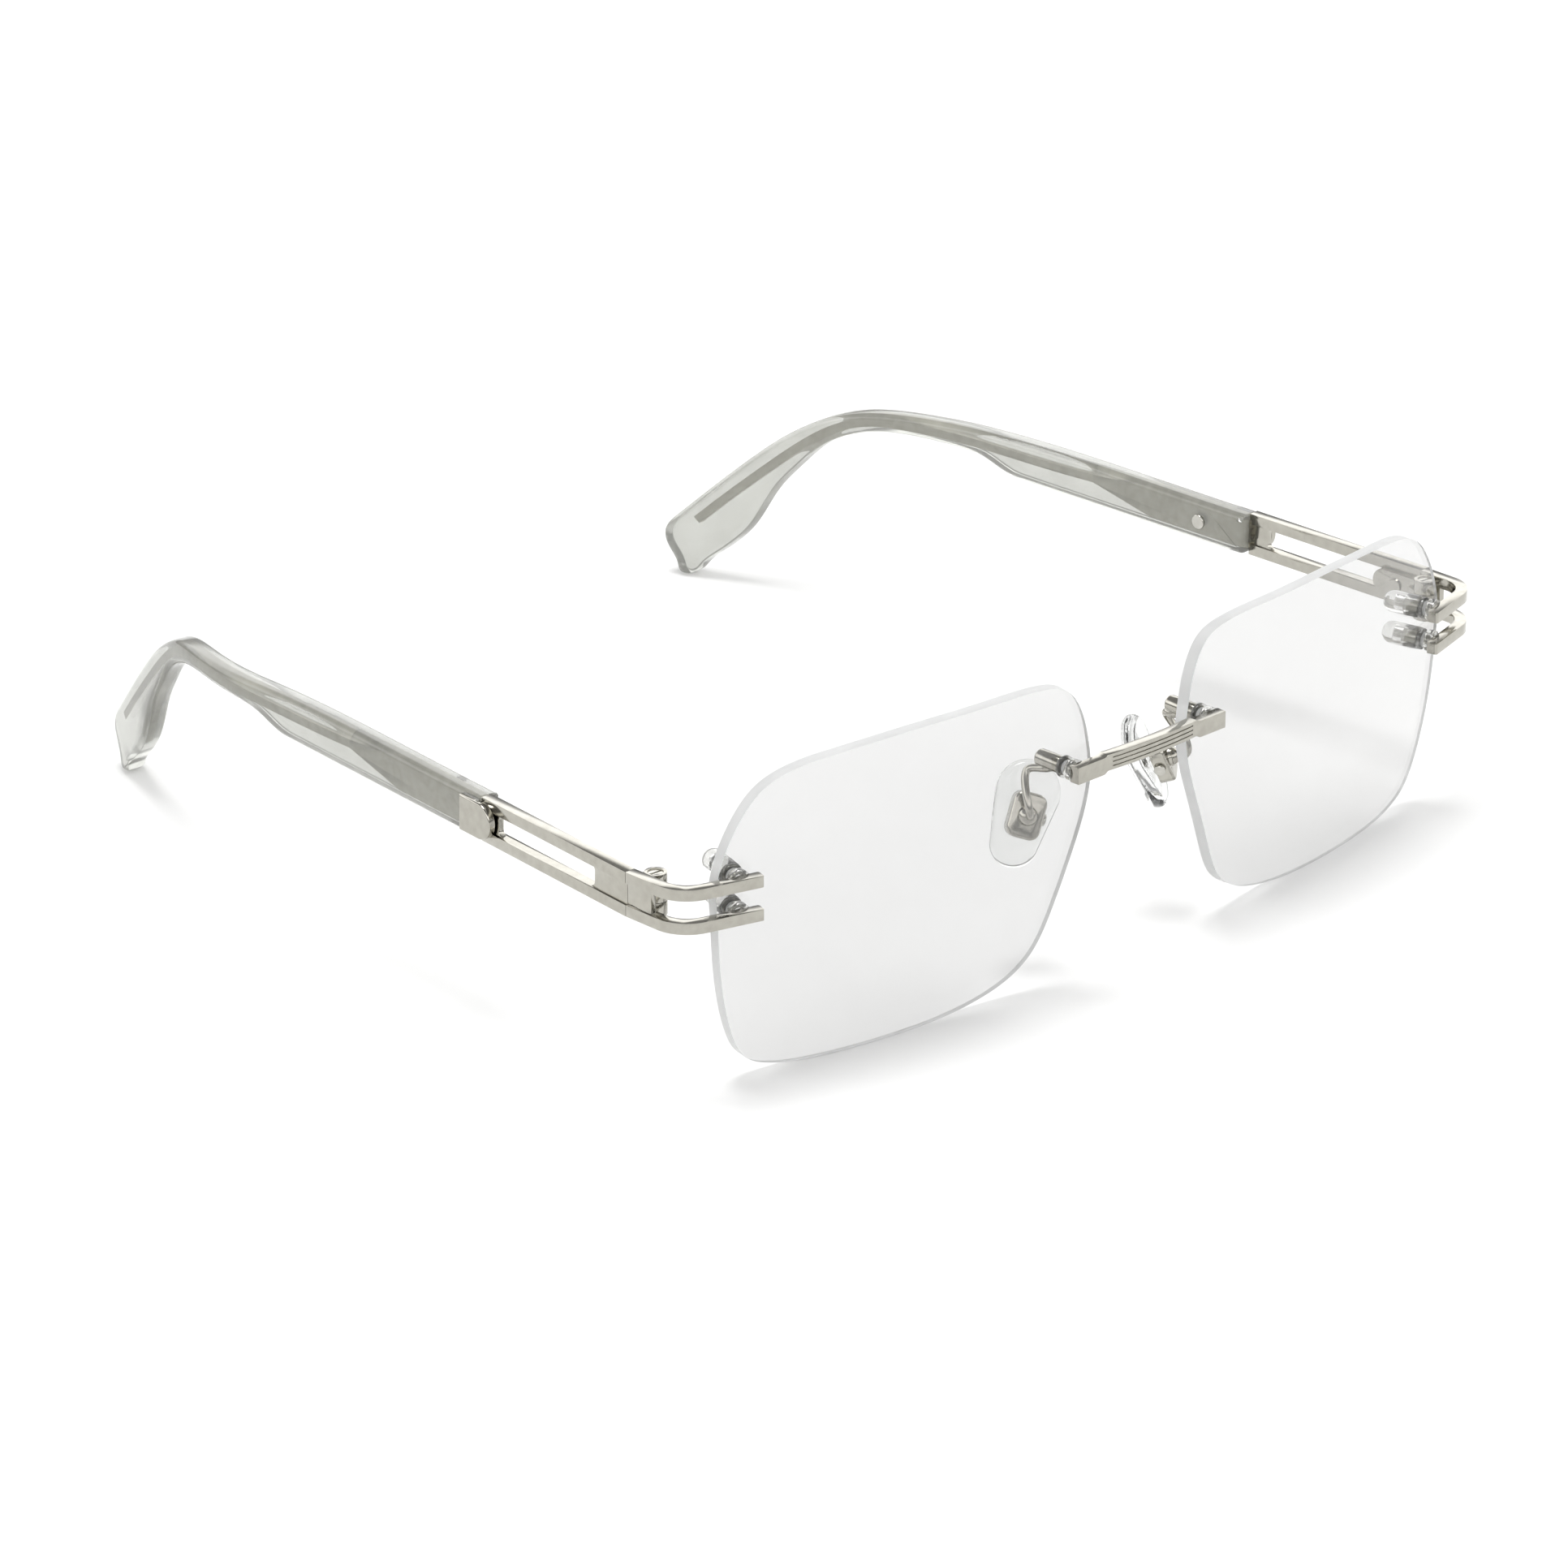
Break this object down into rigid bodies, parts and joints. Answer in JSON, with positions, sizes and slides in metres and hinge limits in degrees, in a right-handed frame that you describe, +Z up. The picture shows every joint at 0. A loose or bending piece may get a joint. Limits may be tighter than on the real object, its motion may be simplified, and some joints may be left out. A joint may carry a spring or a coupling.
{
  "type": "eyeglasses",
  "caption": "Rimless eyeglasses with slotted metal temples in clear sleeves, hinged at twin-bar endpieces, with rocking nose pads.",
  "frame": {"origin": "centre of the bottom of the box around the open glasses, on the surface they stand on", "axes": "+X is the wearer's left, +Y from the lenses back to the temple tips, +Z up"},
  "size_m": [0.1412, 0.1396, 0.0407],
  "materials": {
    "lens": "clear optical plastic, polished faces, frosted edge",
    "frame_metal": "polished nickel plating",
    "screw": "plain nickel-plated screws, nuts and pins",
    "core": "satin core wire",
    "sleeve": "translucent grey acetate, polished",
    "clear_washer": "clear plastic",
    "clear_cap": "clear plastic",
    "pad": "clear silicone"
  },
  "bodies": {
    "front": {"bridge": "frame_metal", "lens_left": "lens", "lens_right": "lens", "endpiece_left": "frame_metal", "endpiece_right": "frame_metal", "temporal_posts_left": "screw", "temporal_posts_right": "screw", "temporal_washers_left": "clear_washer", "temporal_washers_right": "clear_washer", "temporal_bushes_left": "clear_washer", "temporal_bushes_right": "clear_washer", "temporal_nuts_left": "screw", "temporal_nuts_right": "screw", "temporal_caps_left": "clear_cap", "temporal_caps_right": "clear_cap", "nasal_post_left": "screw", "nasal_post_right": "screw", "nasal_washer_left": "clear_washer", "nasal_washer_right": "clear_washer", "nasal_bush_left": "clear_washer", "nasal_bush_right": "clear_washer", "nasal_barrel_nut_left": "frame_metal", "nasal_barrel_nut_right": "frame_metal", "pad_arm_left": "frame_metal", "pad_arm_right": "frame_metal", "pad_box_left": "frame_metal", "pad_box_right": "frame_metal", "pad_screw_left": "screw", "pad_screw_right": "screw", "hinge_screw_left": "screw", "hinge_screw_right": "screw"},
    "temple_left": {"hinge_leaf_left": "frame_metal", "temple_front_left": "frame_metal", "temple_ferrule_left": "frame_metal", "temple_core_left": "core", "temple_sleeve_left": "sleeve", "temple_rivet_left": "screw"},
    "pad_left": {"nose_pad_left": "pad"},
    "temple_right": {"hinge_leaf_right": "frame_metal", "temple_front_right": "frame_metal", "temple_ferrule_right": "frame_metal", "temple_core_right": "core", "temple_sleeve_right": "sleeve", "temple_rivet_right": "screw"},
    "pad_right": {"nose_pad_right": "pad"}
  },
  "joints": [
    {"name": "temple_left_fold", "type": "hinge", "parent": "front", "child": "temple_left", "pos_m": [0.06763, -0.05262, 0.0251], "axis": [0, 0, 1], "range_deg": [0, 80]},
    {"name": "temple_right_fold", "type": "hinge", "parent": "front", "child": "temple_right", "pos_m": [-0.06763, -0.05262, 0.0251], "axis": [0, 0, -1], "range_deg": [0, 66]},
    {"name": "pad_left_rock", "type": "hinge", "parent": "front", "child": "pad_left", "pos_m": [0.01242, -0.05915, 0.02068], "axis": [-0.7273, -0.6103, -0.314], "range_deg": [-8, 8]},
    {"name": "pad_right_rock", "type": "hinge", "parent": "front", "child": "pad_right", "pos_m": [-0.01242, -0.05915, 0.02068], "axis": [0.7273, -0.6103, -0.314], "range_deg": [-8, 8]}
  ]
}
